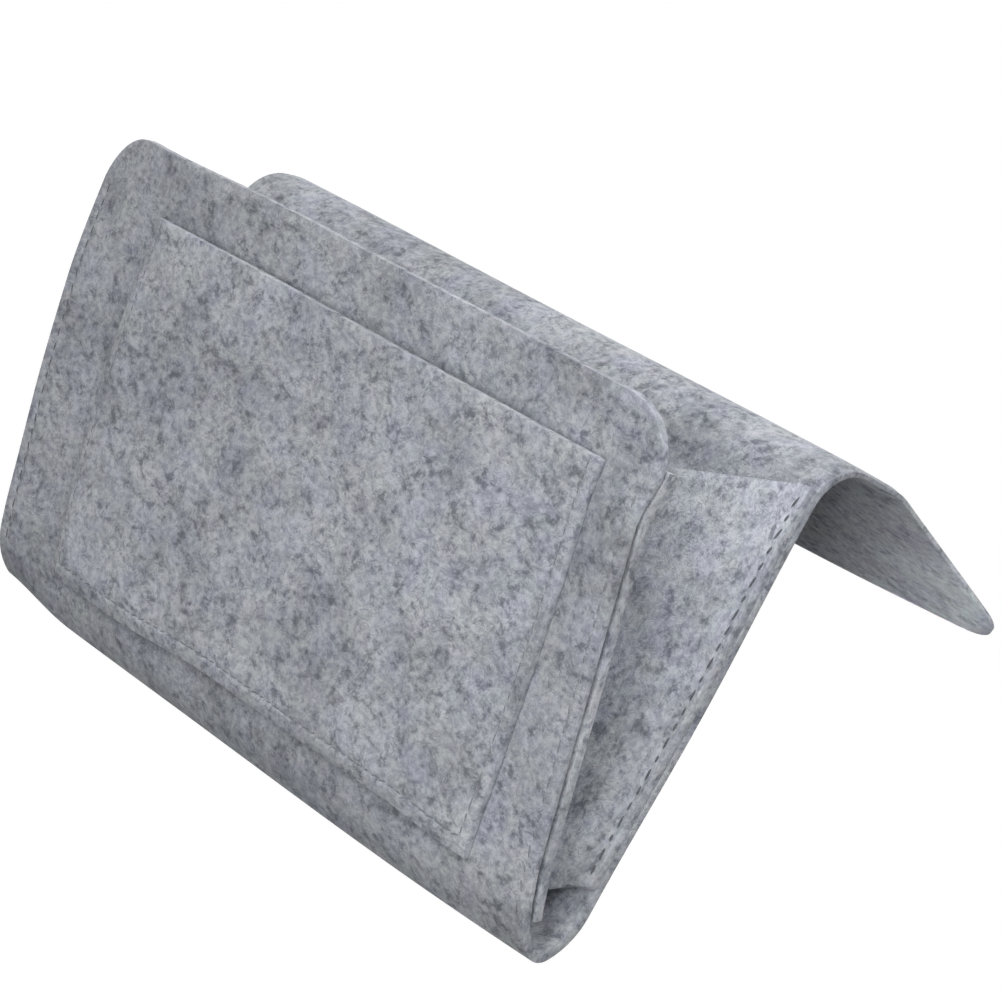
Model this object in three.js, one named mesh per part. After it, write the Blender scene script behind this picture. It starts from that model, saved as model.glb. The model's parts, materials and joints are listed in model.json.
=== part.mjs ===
import * as THREE from "three";

// Felt bedside caddy in millimetres: +X along its width, front towards -Y, +Z up the back panel.
// The origin is on the top face of the mattress flap, where the mattress presses it down.

// Felt and thread
const FELT = 3; // felt thickness
const SEAT = 0.3; // gap between felt layers, and between a thread and the felt under it
const WIDTH = 320; // width of the main strip
const STRIP_CORNER_R = 22; // corners at both ends of the main strip
const THREAD_WIDE = 0.8;
const THREAD_HIGH = 0.5;
const FELT_COLOUR = 0x96999f;
const THREAD_COLOUR = 0x46494e;
const ROUGHNESS = 0.95;
const METALNESS = 0;
const ARC_STEPS = 8;

// Bottom fold: a tight arc at the lowest line and a wider arc on each side of it
const FOLD_TIGHT_R = 6.5; // outer radius
const FOLD_SIDE_R = 25; // outer radius
const FOLD_TIGHT_ANGLE = THREE.MathUtils.degToRad(38); // each side of the lowest line
const POCKET_REST = THREE.MathUtils.degToRad(16.3); // lean of the front panel from the back panel
const POCKET_CLOSING = THREE.MathUtils.degToRad(14);
const POCKET_OPENING = THREE.MathUtils.degToRad(10);

// Panels, with heights along each panel from the bottom fold line
const BACK_TOP = 160.6;
const FRONT_TOP = 174.9;

// Ridge over the back panel, and the flap behind it
const RIDGE_R = 18; // outer radius
const RIDGE_FOLD_AT = THREE.MathUtils.degToRad(45); // fold line, round the roll from the back panel
const RIDGE_FLAT = 11; // level stretch on top of the ridge
const FLAP_BEND_R = 85; // outer radius of the gentle bend into the flap
const FLAP_SLOPE = THREE.MathUtils.degToRad(18.3);
const FLAP_LENGTH = 67; // flat stretch
const RIDGE_CLOSING = THREE.MathUtils.degToRad(50);
const RIDGE_OPENING = THREE.MathUtils.degToRad(110);

// Fold lines, where two halves of a fold meet at the felt's middle layer
const FOLD_GAP = 0.3;

// Patch pocket on the front panel
const POCKET_WIDE = 251;
const POCKET_TALL = 134;
const POCKET_SHIFT = 11; // middle of the pocket from the middle of the panel
const POCKET_BOTTOM = 18.4;
const POCKET_STITCH_IN = 4.5; // from the cut edge to the stitch line

// Side gussets
const WING_HINGE_IN = 6; // from the strip's edge to the fold between hem and wing
const FRONT_HEM_OVER = 1.5; // front hems stand this far past the strip's edge
const BACK_HEM_IN = 0.4; // back hems stop this far short of the strip's edge
const GUSSET_BOTTOM = 24;
const GUSSET_TOP = 159;
const GUSSET_EDGE_DROP = 0.33; // fall of the cut edges for each millimetre inwards
const WING_REST = THREE.MathUtils.degToRad(26); // from the panel
const WING_RATIO = 1.35; // turn of a wing for each turn of the front panel
const CREASE_GAP = 0.4;
const CREASE_TURN_STEPS = 24;
const CREASE_PASSES = 8;
const GUSSET_STITCH_IN = 4.3; // from the strip's edge to the stitch line
const GUSSET_STITCH_END = 3; // from the hem's ends to the ends of the stitch line

const halfRest = POCKET_REST / 2;
const stripEdge = WIDTH / 2;
const wingHingeX = stripEdge - WING_HINGE_IN;

// Middle of the wider arc of the bottom fold, in the fold's own frame (u to the back, v up)
const sideArcU = -(FOLD_SIDE_R - FOLD_TIGHT_R) * Math.sin(FOLD_TIGHT_ANGLE);
const tightArcV = FOLD_TIGHT_R - FELT / 2;
const sideArcV = tightArcV + (FOLD_SIDE_R - FOLD_TIGHT_R) * Math.cos(FOLD_TIGHT_ANGLE);

// Where the bottom fold runs out into a panel, in the panel's frame
const runOutU = sideArcU + FOLD_SIDE_R * Math.cos(halfRest);
const runOutV = sideArcV - FOLD_SIDE_R * Math.sin(halfRest);
const panelOuter = runOutU * Math.cos(halfRest) - runOutV * Math.sin(halfRest);
const panelStart = runOutU * Math.sin(halfRest) + runOutV * Math.cos(halfRest);
const panelInner = panelOuter - FELT;

// Ridge middle, and the end of the gentle bend, in the back panel's frame
const ridgeY = panelInner + RIDGE_R;
const bendY = ridgeY + RIDGE_FLAT;
const bendZ = BACK_TOP + RIDGE_R - FLAP_BEND_R;
const flapY = bendY + FLAP_BEND_R * Math.sin(FLAP_SLOPE);
const flapZ = bendZ + FLAP_BEND_R * Math.cos(FLAP_SLOPE);

// Point on the flap's top face that the origin stands on
const gripY = flapY + (FLAP_LENGTH / 2) * Math.cos(FLAP_SLOPE);
const gripZ = flapZ - (FLAP_LENGTH / 2) * Math.sin(FLAP_SLOPE);

// Inner face of the hems, which holds the fold lines between hem and wing
const hemFace = panelInner - SEAT - FELT;

function arcPoints(middleX, middleY, radius, from, to) {
  const curve = new THREE.EllipseCurve(middleX, middleY, radius, radius, from, to, to < from);
  return curve.getPoints(ARC_STEPS);
}

function named(name, geometry, colour) {
  const material = new THREE.MeshStandardMaterial({
    color: colour,
    roughness: ROUGHNESS,
    metalness: METALNESS,
  });
  const mesh = new THREE.Mesh(geometry, material);
  mesh.name = name;
  return mesh;
}

// Sheet drawn in X and Z that takes up `thick` from `low` along Y
function upright(outline, low, thick) {
  const geometry = new THREE.ExtrudeGeometry(outline, {
    depth: thick,
    bevelEnabled: false,
    curveSegments: ARC_STEPS,
  });
  geometry.rotateX(Math.PI / 2);
  geometry.translate(0, low + thick, 0);
  return geometry;
}

// Section drawn in Y and Z, run across the whole width
function acrossWidth(points) {
  const geometry = new THREE.ExtrudeGeometry(new THREE.Shape(points), {
    depth: WIDTH,
    bevelEnabled: false,
  });
  geometry.rotateX(Math.PI / 2);
  geometry.rotateZ(Math.PI / 2);
  geometry.translate(-stripEdge, 0, 0);
  return geometry;
}

function rectangle(left, right, bottom, top) {
  const outline = new THREE.Shape();
  outline.moveTo(left, bottom);
  outline.lineTo(right, bottom);
  outline.lineTo(right, top);
  outline.lineTo(left, top);
  return outline;
}

// Rectangle as wide as the strip, with its two far corners rounded
function roundedEnd(near, far) {
  const side = stripEdge;
  const radius = STRIP_CORNER_R;
  const outline = new THREE.Shape();
  outline.moveTo(-side, near);
  outline.lineTo(side, near);
  outline.lineTo(side, far - radius);
  outline.absarc(side - radius, far - radius, radius, 0, Math.PI / 2, false);
  outline.lineTo(radius - side, far);
  outline.absarc(radius - side, far - radius, radius, Math.PI / 2, Math.PI, false);
  return outline;
}

// Half of the bottom fold; facing is 1 for the back half and -1 for the front half
function bottomRoll(facing) {
  const outerEnd = FOLD_GAP / 2 + (FELT / 2) * Math.tan(POCKET_OPENING / 2);
  const innerEnd = FOLD_GAP / 2 + (FELT / 2) * Math.tan(POCKET_CLOSING / 2);
  const turn = -Math.PI / 2;
  const join = FOLD_TIGHT_ANGLE + turn;
  const outer = [
    ...arcPoints(0, tightArcV, FOLD_TIGHT_R, Math.asin(outerEnd / FOLD_TIGHT_R) + turn, join),
    ...arcPoints(sideArcU, sideArcV, FOLD_SIDE_R, join, -halfRest).slice(1),
  ];
  const innerR = FOLD_TIGHT_R - FELT;
  const inner = [
    ...arcPoints(0, tightArcV, innerR, Math.asin(innerEnd / innerR) + turn, join),
    ...arcPoints(sideArcU, sideArcV, FOLD_SIDE_R - FELT, join, -halfRest).slice(1),
  ];
  const section = [new THREE.Vector2(FOLD_GAP / 2, 0), ...outer, ...inner.reverse()];
  return acrossWidth(section.map((point) => new THREE.Vector2(facing * point.x, point.y)));
}

// Angle between the ridge's fold line and the end of a half of the roll
function ridgeEnd(radius, relief) {
  return (FOLD_GAP / 2 + (FELT / 2) * Math.tan(relief)) / radius;
}

const ridgeFold = Math.PI - RIDGE_FOLD_AT;
const ridgeMiddleR = RIDGE_R - FELT / 2;
const ridgeInnerR = RIDGE_R - FELT;
const ridgeTipEnd = FOLD_GAP / 2 / ridgeMiddleR;
const ridgeOuterEnd = ridgeEnd(RIDGE_R, RIDGE_OPENING / 2);
const ridgeInnerEnd = ridgeEnd(ridgeInnerR, RIDGE_CLOSING / 2);

function ridgeTip(angle) {
  return new THREE.Vector2(
    ridgeY + ridgeMiddleR * Math.cos(angle),
    BACK_TOP + ridgeMiddleR * Math.sin(angle),
  );
}

function ridgeRollBack() {
  const outer = arcPoints(ridgeY, BACK_TOP, RIDGE_R, ridgeFold + ridgeOuterEnd, Math.PI);
  const inner = arcPoints(ridgeY, BACK_TOP, ridgeInnerR, Math.PI, ridgeFold + ridgeInnerEnd);
  return acrossWidth([ridgeTip(ridgeFold + ridgeTipEnd), ...outer, ...inner]);
}

function ridgeRollFlap() {
  const top = Math.PI / 2;
  const outer = [
    ...arcPoints(ridgeY, BACK_TOP, RIDGE_R, ridgeFold - ridgeOuterEnd, top),
    ...arcPoints(bendY, bendZ, FLAP_BEND_R, top, top - FLAP_SLOPE),
  ];
  const inner = [
    ...arcPoints(bendY, bendZ, FLAP_BEND_R - FELT, top - FLAP_SLOPE, top),
    ...arcPoints(ridgeY, BACK_TOP, ridgeInnerR, top, ridgeFold - ridgeInnerEnd),
  ];
  return acrossWidth([ridgeTip(ridgeFold - ridgeTipEnd), ...outer, ...inner]);
}

// How far a wing may reach from its hinge at a height, so that it stays on its side of the crease
function creaseReach(height) {
  let reach = Infinity;
  for (let step = 0; step <= CREASE_TURN_STEPS; step += 1) {
    const turn = -POCKET_CLOSING + ((POCKET_CLOSING + POCKET_OPENING) * step) / CREASE_TURN_STEPS;
    const room = hemFace + height * Math.tan((POCKET_REST + turn) / 2);
    reach = Math.min(reach, room / Math.sin(WING_REST + WING_RATIO * turn));
  }
  return reach - CREASE_GAP / 2 / Math.sin(WING_REST);
}

// End of a sloping cut edge on the crease
function creaseCorner(seamHeight) {
  let across = creaseReach(seamHeight);
  for (let pass = 0; pass < CREASE_PASSES; pass += 1) {
    across = creaseReach(seamHeight - GUSSET_EDGE_DROP * across);
  }
  return new THREE.Vector2(across, seamHeight - GUSSET_EDGE_DROP * across);
}

const creaseLow = creaseCorner(GUSSET_BOTTOM);
const creaseHigh = creaseCorner(GUSSET_TOP);

// Wing of a gusset, hinged on its hem and leaning away from its panel
function wing(name, side, facing) {
  const near = SEAT / 2;
  const outline = new THREE.Shape([
    new THREE.Vector2(-side * near, GUSSET_BOTTOM),
    new THREE.Vector2(-side * near, GUSSET_TOP),
    new THREE.Vector2(-side * creaseHigh.x, creaseHigh.y),
    new THREE.Vector2(-side * creaseLow.x, creaseLow.y),
  ]);
  const mesh = named(name, upright(outline, facing > 0 ? 0 : -FELT, FELT), FELT_COLOUR);
  mesh.position.set(side * wingHingeX, facing * hemFace, 0);
  mesh.rotation.z = side * facing * WING_REST;
  return mesh;
}

// Sheet on one side of the fold frame: it starts `away` from the fold plane, towards the panel
function layer(name, outline, facing, away, thick, colour) {
  const low = facing > 0 ? away : -away - thick;
  return named(name, upright(outline, low, thick), colour);
}

function gussetHem(name, side, facing, edge) {
  const near = side * (wingHingeX + SEAT / 2);
  const far = side * edge;
  const outline = rectangle(Math.min(near, far), Math.max(near, far), GUSSET_BOTTOM, GUSSET_TOP);
  return layer(name, outline, facing, hemFace, FELT, FELT_COLOUR);
}

// Straight thread along a gusset seam
function gussetThread(name, side, facing, away) {
  const middle = side * (stripEdge - GUSSET_STITCH_IN);
  const outline = rectangle(
    middle - THREAD_WIDE / 2,
    middle + THREAD_WIDE / 2,
    GUSSET_BOTTOM + GUSSET_STITCH_END,
    GUSSET_TOP - GUSSET_STITCH_END,
  );
  return layer(name, outline, facing, away, THREAD_HIGH, THREAD_COLOUR);
}

// Thread round the three sewn sides of the pocket
function pocketThread(name, away) {
  const left = POCKET_SHIFT - POCKET_WIDE / 2 + POCKET_STITCH_IN;
  const right = POCKET_SHIFT + POCKET_WIDE / 2 - POCKET_STITCH_IN;
  const bottom = POCKET_BOTTOM + POCKET_STITCH_IN;
  const top = POCKET_BOTTOM + POCKET_TALL;
  const half = THREAD_WIDE / 2;
  const outline = new THREE.Shape([
    new THREE.Vector2(left - half, top),
    new THREE.Vector2(left - half, bottom - half),
    new THREE.Vector2(right + half, bottom - half),
    new THREE.Vector2(right + half, top),
    new THREE.Vector2(right - half, top),
    new THREE.Vector2(right - half, bottom + half),
    new THREE.Vector2(left + half, bottom + half),
    new THREE.Vector2(left + half, top),
  ]);
  return layer(name, outline, -1, away, THREAD_HIGH, THREAD_COLOUR);
}

// Everything hangs from a frame on the bottom fold line, in line with the back panel
const caddy = new THREE.Group();
const foldFrame = new THREE.Group();
foldFrame.position.set(0, -gripY, -gripZ);
caddy.add(foldFrame);

const rollFrame = new THREE.Group();
rollFrame.rotation.x = halfRest;
rollFrame.add(named("bottom_roll_back", bottomRoll(1), FELT_COLOUR));
rollFrame.add(named("bottom_roll_front", bottomRoll(-1), FELT_COLOUR));

const frontFrame = new THREE.Group();
frontFrame.rotation.x = POCKET_REST;
foldFrame.add(rollFrame, frontFrame);

// Back panel, ridge and flap
const backOutline = rectangle(-stripEdge, stripEdge, panelStart + SEAT, BACK_TOP - SEAT);
foldFrame.add(layer("back_panel", backOutline, 1, panelInner, FELT, FELT_COLOUR));
foldFrame.add(named("ridge_roll_back", ridgeRollBack(), FELT_COLOUR));
foldFrame.add(named("ridge_roll_flap", ridgeRollFlap(), FELT_COLOUR));

const flapGeometry = new THREE.ExtrudeGeometry(roundedEnd(SEAT, FLAP_LENGTH), {
  depth: FELT,
  bevelEnabled: false,
  curveSegments: ARC_STEPS,
});
flapGeometry.translate(0, 0, -FELT);
const flap = named("mattress_flap", flapGeometry, FELT_COLOUR);
flap.position.set(0, flapY, flapZ);
flap.rotation.x = -FLAP_SLOPE;
foldFrame.add(flap);

// Front panel and its patch pocket
const frontOutline = roundedEnd(panelStart + SEAT, FRONT_TOP);
frontFrame.add(layer("front_panel", frontOutline, -1, panelInner, FELT, FELT_COLOUR));

const pocketOutline = rectangle(
  POCKET_SHIFT - POCKET_WIDE / 2,
  POCKET_SHIFT + POCKET_WIDE / 2,
  POCKET_BOTTOM,
  POCKET_BOTTOM + POCKET_TALL,
);
const pocketAway = panelOuter + SEAT;
frontFrame.add(layer("patch_pocket", pocketOutline, -1, pocketAway, FELT, FELT_COLOUR));
frontFrame.add(pocketThread("pocket_needle_thread", pocketAway + FELT + SEAT));
frontFrame.add(pocketThread("pocket_bobbin_thread", panelInner - SEAT - THREAD_HIGH));

// Gussets with their seams
const hemThreadAway = hemFace - SEAT - THREAD_HIGH;
const panelThreadAway = panelOuter + SEAT;
for (const [label, sign] of [["left", -1], ["right", 1]]) {
  const gusset = `gusset_${label}`;
  foldFrame.add(gussetHem(`${gusset}_back_hem`, sign, 1, stripEdge - BACK_HEM_IN));
  foldFrame.add(wing(`${gusset}_back_wing`, sign, 1));
  foldFrame.add(gussetThread(`${gusset}_back_needle_thread`, sign, 1, hemThreadAway));
  foldFrame.add(gussetThread(`${gusset}_back_bobbin_thread`, sign, 1, panelThreadAway));
  frontFrame.add(gussetHem(`${gusset}_front_hem`, sign, -1, stripEdge + FRONT_HEM_OVER));
  frontFrame.add(wing(`${gusset}_front_wing`, sign, -1));
  frontFrame.add(gussetThread(`${gusset}_front_needle_thread`, sign, -1, panelThreadAway));
  frontFrame.add(gussetThread(`${gusset}_front_bobbin_thread`, sign, -1, hemThreadAway));
}

export default caddy;
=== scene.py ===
import json
import logging
import math
from collections.abc import Callable, Iterable, Sequence
from dataclasses import dataclass, field
from enum import Enum, IntEnum

import bmesh
import bpy
from mathutils import Matrix, Vector


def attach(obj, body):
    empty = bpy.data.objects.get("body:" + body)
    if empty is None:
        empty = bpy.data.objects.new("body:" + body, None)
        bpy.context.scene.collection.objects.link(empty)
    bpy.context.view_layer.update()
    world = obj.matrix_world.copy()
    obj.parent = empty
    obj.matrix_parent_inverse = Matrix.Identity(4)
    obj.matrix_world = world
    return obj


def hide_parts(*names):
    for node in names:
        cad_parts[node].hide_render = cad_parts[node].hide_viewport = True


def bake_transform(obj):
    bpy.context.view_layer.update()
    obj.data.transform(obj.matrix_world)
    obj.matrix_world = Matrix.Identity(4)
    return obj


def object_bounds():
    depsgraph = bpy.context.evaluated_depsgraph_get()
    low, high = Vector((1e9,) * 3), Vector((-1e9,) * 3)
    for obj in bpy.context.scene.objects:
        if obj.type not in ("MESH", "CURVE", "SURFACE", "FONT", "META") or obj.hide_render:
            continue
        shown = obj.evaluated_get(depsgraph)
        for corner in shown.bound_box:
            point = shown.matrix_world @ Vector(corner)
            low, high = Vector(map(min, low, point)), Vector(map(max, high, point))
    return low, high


Material = bpy.types.Material
Piece = bpy.types.Object
Socket = bpy.types.NodeSocket
Spot = tuple[float, float]
Triple = tuple[float, float, float]
Paint = Socket | Triple

LOG = logging.getLogger("caddy")
FLAT_UV = "flat"
WHITE = (1.0, 1.0, 1.0, 1.0)
MM = 0.001
# Thickness of the felt and the gap between two layers of it, in millimetres
FELT = 3.0
LAYER_GAP = 0.2
# Cuts on both sides of a stitch row, in millimetres from it
DIP_CUTS = (-2.4, -1.5, -0.75, 0.0, 0.75, 1.5, 2.4)
# Cuts across a gusset from its hem's edge to its crease, as Gusset.where counts them
HEM_CUTS = (-1.85, -1.7, -1.55, -1.4, -1.25, -1.12)
FOLD_CUTS = (-1.0, -0.985, -0.97, -0.955, -0.94, -0.92, -0.89, -0.86)
CREASE_CUTS = (-0.2, -0.16, -0.12, -0.09, -0.06, -0.03)

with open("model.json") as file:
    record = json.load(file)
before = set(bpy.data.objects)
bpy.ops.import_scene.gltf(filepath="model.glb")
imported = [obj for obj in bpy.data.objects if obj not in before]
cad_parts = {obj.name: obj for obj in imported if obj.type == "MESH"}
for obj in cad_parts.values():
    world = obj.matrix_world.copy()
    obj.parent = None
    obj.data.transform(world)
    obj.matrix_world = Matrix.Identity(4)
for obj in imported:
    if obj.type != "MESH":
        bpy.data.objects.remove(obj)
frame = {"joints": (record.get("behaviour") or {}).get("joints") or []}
CAD_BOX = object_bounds()


class Side(Enum):
    """End of the caddy, seen from its front."""

    LEFT = -1
    RIGHT = 1

    @property
    def label(self) -> str:
        """Word for the end in the names of pieces."""
        return self.name.lower()


class Panel(Enum):
    """Panel that a gusset is sewn to; the value is the way it lies from the bottom fold."""

    FRONT = -1
    BACK = 1

    @property
    def body(self) -> str:
        """Name of the CAD body that the panel belongs to."""
        return self.name.lower()


class Thread(Enum):
    """Sewing thread of a seam."""

    GREY = "grey"
    # Darker thread, painted shade: its colour stands in for the shade in the stitch grooves of the
    # seams that take it.
    DARK = "dark"


class Stretch(IntEnum):
    """Straight and round stretches of the main strip, from the flap's free edge on."""

    FLAP = 0
    BEND = 1
    RIDGE_FLAT = 2
    RIDGE = 3
    BACK = 4
    BACK_ROUND = 5
    BACK_TIGHT = 6
    FRONT_TIGHT = 7
    FRONT_ROUND = 8
    FRONT = 9


def smooth(low: float, high: float, value: float) -> float:
    """Smooth step of a value, from 0 at low to 1 at high."""
    t = min(1.0, max(0.0, (value - low) / (high - low)))
    return t * t * (3.0 - 2.0 * t)


def unmoved(x: float, run: float) -> Spot:
    """The same place on the felt."""
    return x, run


def spread(low: float, high: float, step: float) -> list[float]:
    """Even positions between two ends, at most a step apart, both ends left out."""
    count = max(1, math.ceil((high - low) / step))
    return [low + (high - low) * i / count for i in range(1, count)]


def fold_line() -> Vector:
    """Middle of the bottom fold line in the CAD, in metres."""
    joint = next(joint for joint in frame["joints"] if joint["name"] == "bottom_fold")
    return Vector(joint["pos_m"])


def linked(name: str, data: bpy.types.ID) -> Piece:
    """New object in the scene.

    Args:
        name: Name of the object.
        data: Mesh, camera or lamp that it shows.

    Returns:
        The object, at the origin.
    """
    made = bpy.data.objects.new(name, data)
    bpy.context.scene.collection.objects.link(made)
    return made


def meshed(name: str, shape: bmesh.types.BMesh) -> Piece:
    """New object in the scene from a shape, which is used up.

    Args:
        name: Name of the object and of its mesh.
        shape: Finished shape.

    Returns:
        The object, at the origin.
    """
    data = bpy.data.meshes.new(name)
    shape.to_mesh(data)
    shape.free()
    return linked(name, data)


def blend_at(made: Piece, start: Vector, end: Vector) -> None:
    """Bake a piece's placing into its mesh.

    Args:
        made: Piece to bake.
        start: Not used.
        end: Not used.
    """
    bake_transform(made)


class Nodes:
    """Short words for building one material's node tree."""

    # Length and thickness of a fibre, in metres
    FIBRE = (0.0026, 0.0008, 1.0)

    def __init__(self, name: str) -> None:
        """Start an empty material with a principled shader.

        Args:
            name: Name of the material.
        """
        self.made = bpy.data.materials.new(name)
        self.made.use_nodes = True
        self.tree = self.made.node_tree
        self.shader = self.tree.nodes["Principled BSDF"]

    def add(self, kind: str) -> bpy.types.Node:
        """Add a node of a kind."""
        return self.tree.nodes.new(kind)

    def join(self, out: Socket, into: Socket) -> None:
        """Link an output to an input."""
        self.tree.links.new(out, into)

    def preset(self, values: dict[str, float | Sequence[float]]) -> None:
        """Set plain values on the shader's own sockets."""
        for name, value in values.items():
            self.shader.inputs[name].default_value = value

    def dress(self, colour: Socket, height: Socket, relief: float, depth: float) -> None:
        """Give the shader its colour and its small relief.

        Args:
            colour: Colour of the surface.
            height: Height of the relief, from 0 to 1.
            relief: Strength of the relief.
            depth: Depth of the relief in metres.
        """
        bump = self.add("ShaderNodeBump")
        bump.inputs["Strength"].default_value = relief
        bump.inputs["Distance"].default_value = depth
        self.join(height, bump.inputs["Height"])
        self.join(colour, self.shader.inputs["Base Color"])
        self.join(bump.outputs["Normal"], self.shader.inputs["Normal"])

    def noise(
        self,
        where: Socket,
        scale: float,
        detail: float,
        rough: float,
        seed: float = 0.0,
        out: str = "Fac",
    ) -> Socket:
        """Noise with features of about 1 / scale metres.

        Args:
            where: Coordinates to read.
            scale: Features to the metre.
            detail: Octaves.
            rough: Strength of the finer octaves.
            seed: Number that sets apart two noises of one scale.
            out: Output to take, Fac or Color.

        Returns:
            The noise.
        """
        node = self.add("ShaderNodeTexNoise")
        node.noise_dimensions = "4D"
        node.inputs["Scale"].default_value = scale
        node.inputs["Detail"].default_value = detail
        node.inputs["Roughness"].default_value = rough
        node.inputs["W"].default_value = seed + scale * 0.013
        self.join(where, node.inputs["Vector"])
        return node.outputs[out]

    def shifted(self, where: Socket, by: Triple, stretch: Triple) -> Socket:
        """Coordinates stretched and moved by fixed amounts.

        Args:
            where: Coordinates to change.
            by: Move along each axis.
            stretch: Factor on each axis.

        Returns:
            The changed coordinates.
        """
        node = self.add("ShaderNodeMapping")
        node.inputs["Location"].default_value = by
        node.inputs["Scale"].default_value = stretch
        self.join(where, node.inputs["Vector"])
        return node.outputs["Vector"]

    def nudged(self, where: Socket, by: Socket, reach: float) -> Socket:
        """Coordinates pushed about by a noise's colour.

        Args:
            where: Coordinates to push.
            by: Colour output of a noise.
            reach: Push for a full step of the noise, in metres.

        Returns:
            The pushed coordinates.
        """
        node = self.add("ShaderNodeVectorMath")
        node.operation = "MULTIPLY_ADD"
        node.inputs[1].default_value = (reach, reach, reach)
        self.join(by, node.inputs[0])
        self.join(where, node.inputs[2])
        return node.outputs["Vector"]

    def math(self, what: str, first: Socket, second: Socket | float) -> Socket:
        """One arithmetic step on two values.

        Args:
            what: Name of the operation.
            first: First value.
            second: Second value, linked or plain.

        Returns:
            The result.
        """
        node = self.add("ShaderNodeMath")
        node.operation = what
        self.join(first, node.inputs[0])
        if isinstance(second, float):
            node.inputs[1].default_value = second
        else:
            self.join(second, node.inputs[1])
        return node.outputs["Value"]

    def weighted(self, *parts: tuple[Socket, float]) -> Socket:
        """Sum of values.

        Args:
            parts: Values, each with its weight.

        Returns:
            The sum.
        """
        total = None
        for value, weight in parts:
            part = self.math("MULTIPLY", value, weight)
            total = part if total is None else self.math("ADD", total, part)
        return total

    def ramp(self, value: Socket, low: float, high: float) -> Socket:
        """Smooth step of a value.

        Args:
            value: Value to place on the step.
            low: Value that gives 0.
            high: Value that gives 1.

        Returns:
            A value from 0 to 1.
        """
        node = self.add("ShaderNodeMapRange")
        node.interpolation_type = "SMOOTHSTEP"
        node.inputs["From Min"].default_value = low
        node.inputs["From Max"].default_value = high
        self.join(value, node.inputs["Value"])
        return node.outputs["Result"]

    def fibres(self, sheet: Socket, turns: Sequence[float], seed: float) -> Socket:
        """Short thin fibres that lie in a few directions on the sheet.

        Args:
            sheet: Flat coordinates of the sheet, in metres.
            turns: Directions of the fibres, in radians.
            seed: Number that sets two layers of fibres apart.

        Returns:
            1 on the fibres and 0 away from them.
        """
        found = None
        for index, turn in enumerate(turns):
            laid = self.add("ShaderNodeMapping")
            laid.vector_type = "TEXTURE"
            laid.inputs["Rotation"].default_value = (0.0, 0.0, turn)
            laid.inputs["Scale"].default_value = self.FIBRE
            self.join(sheet, laid.inputs["Vector"])
            grown = self.noise(laid.outputs["Vector"], 1.0, 1.0, 0.5, seed + 3.1 * index)
            layer = self.ramp(grown, 0.585, 0.66)
            found = layer if found is None else self.math("MAXIMUM", found, layer)
        return found

    def mix(self, share: Socket | float, first: Paint, second: Paint, kind: str = "MIX") -> Socket:
        """Colour made of two others.

        Args:
            share: Share of the second colour, linked or plain.
            first: First colour, linked or plain.
            second: Second colour, linked or plain.
            kind: Way of mixing.

        Returns:
            The colour.
        """
        node = self.add("ShaderNodeMix")
        node.data_type = "RGBA"
        node.blend_type = kind
        if isinstance(share, float):
            node.inputs[0].default_value = share
        else:
            self.join(share, node.inputs[0])
        for value, socket in ((first, node.inputs[6]), (second, node.inputs[7])):
            if isinstance(value, tuple):
                socket.default_value = (*value, 1.0)
            else:
                self.join(value, socket)
        return node.outputs[2]


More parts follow.
